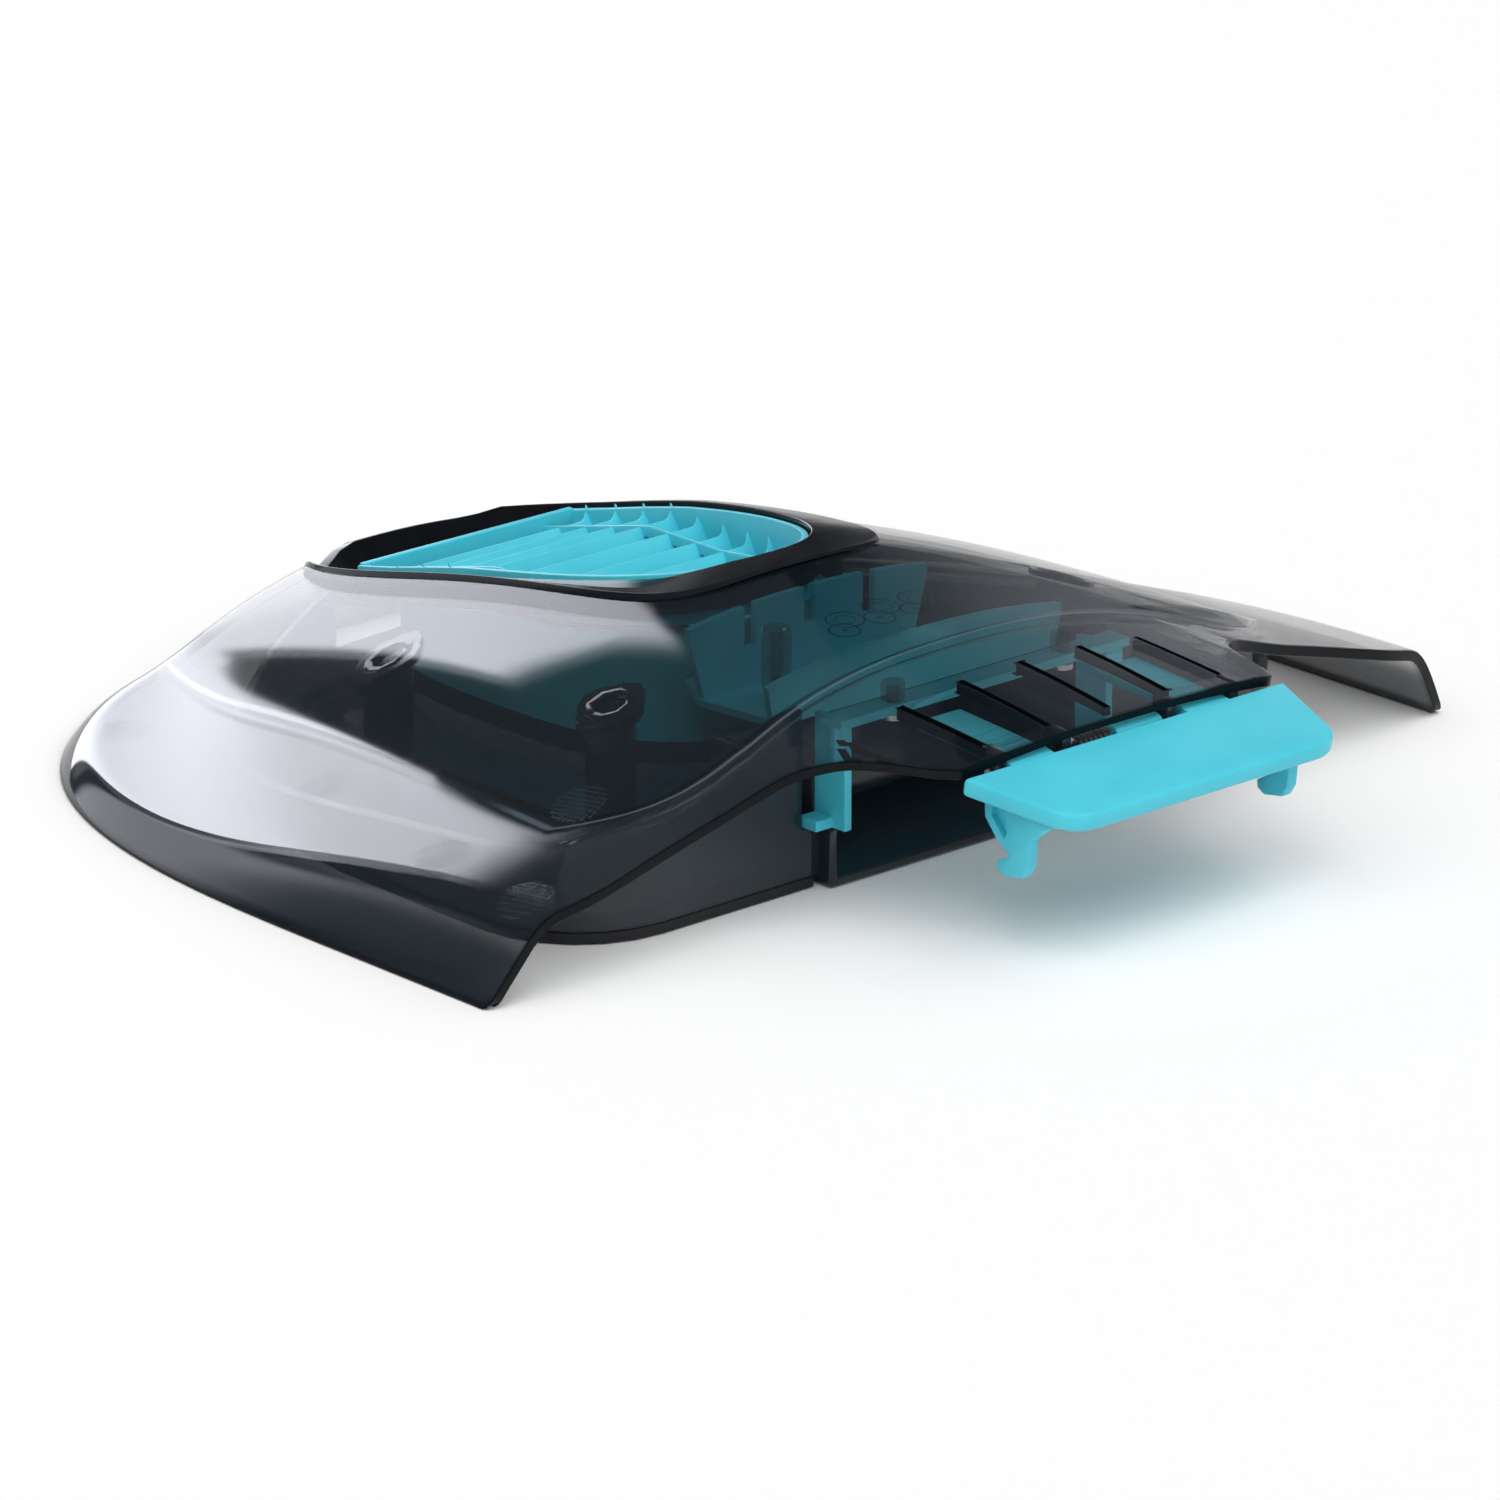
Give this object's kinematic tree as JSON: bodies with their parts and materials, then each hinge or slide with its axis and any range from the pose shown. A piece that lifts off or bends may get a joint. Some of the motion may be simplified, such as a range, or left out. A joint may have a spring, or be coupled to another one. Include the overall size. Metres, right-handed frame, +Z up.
{
  "type": "pool cleaner lid",
  "caption": "Smoked see-through lid of a robotic pool cleaner, with an oval water outlet and grille at the rear and a sprung finger latch at the front.",
  "frame": {"origin": "centre of the plan's bounding box, on the plane that the lid's rim and seal rest on", "axes": "+Z up, away from the cleaner; +Y towards the outlet at the rear; -Y towards the latch; +X to the lid's right seen from above with the latch at the bottom"},
  "size_m": [0.34, 0.3399, 0.0617],
  "materials": {
    "smoked_shell": "smoked, see-through, high gloss",
    "smoked_frame": "smoked, see-through, gloss",
    "black_gloss": "gloss",
    "turquoise": "satin",
    "steel": "plain",
    "seal_rubber": "matt"
  },
  "bodies": {
    "lid": {"hood_shell": "smoked_shell", "outlet_bezel": "black_gloss", "outlet_grille": "turquoise", "outlet_duct": "turquoise", "pocket_arch": "turquoise", "lower_frame": "smoked_frame", "latch_pocket": "smoked_frame", "frame_seal": "seal_rubber", "duct_seal": "seal_rubber", "latch_hinge_pin": "steel", "latch_spring": "steel", "frame_screw_1": "steel", "frame_screw_2": "steel", "frame_screw_3": "steel", "frame_screw_4": "steel", "duct_screw_1": "steel", "duct_screw_2": "steel", "arch_screw_1": "steel", "arch_screw_2": "steel"},
    "latch": {"latch_paddle": "turquoise"}
  },
  "joints": [
    {"name": "latch_hinge", "type": "hinge", "parent": "lid", "child": "latch", "pos_m": [0, -0.1342, 0.0438], "axis": [-1, 0, 0], "range_deg": [0, 20], "stiffness_Nm_per_rad": 0.06, "springref_deg": -20.05}
  ]
}
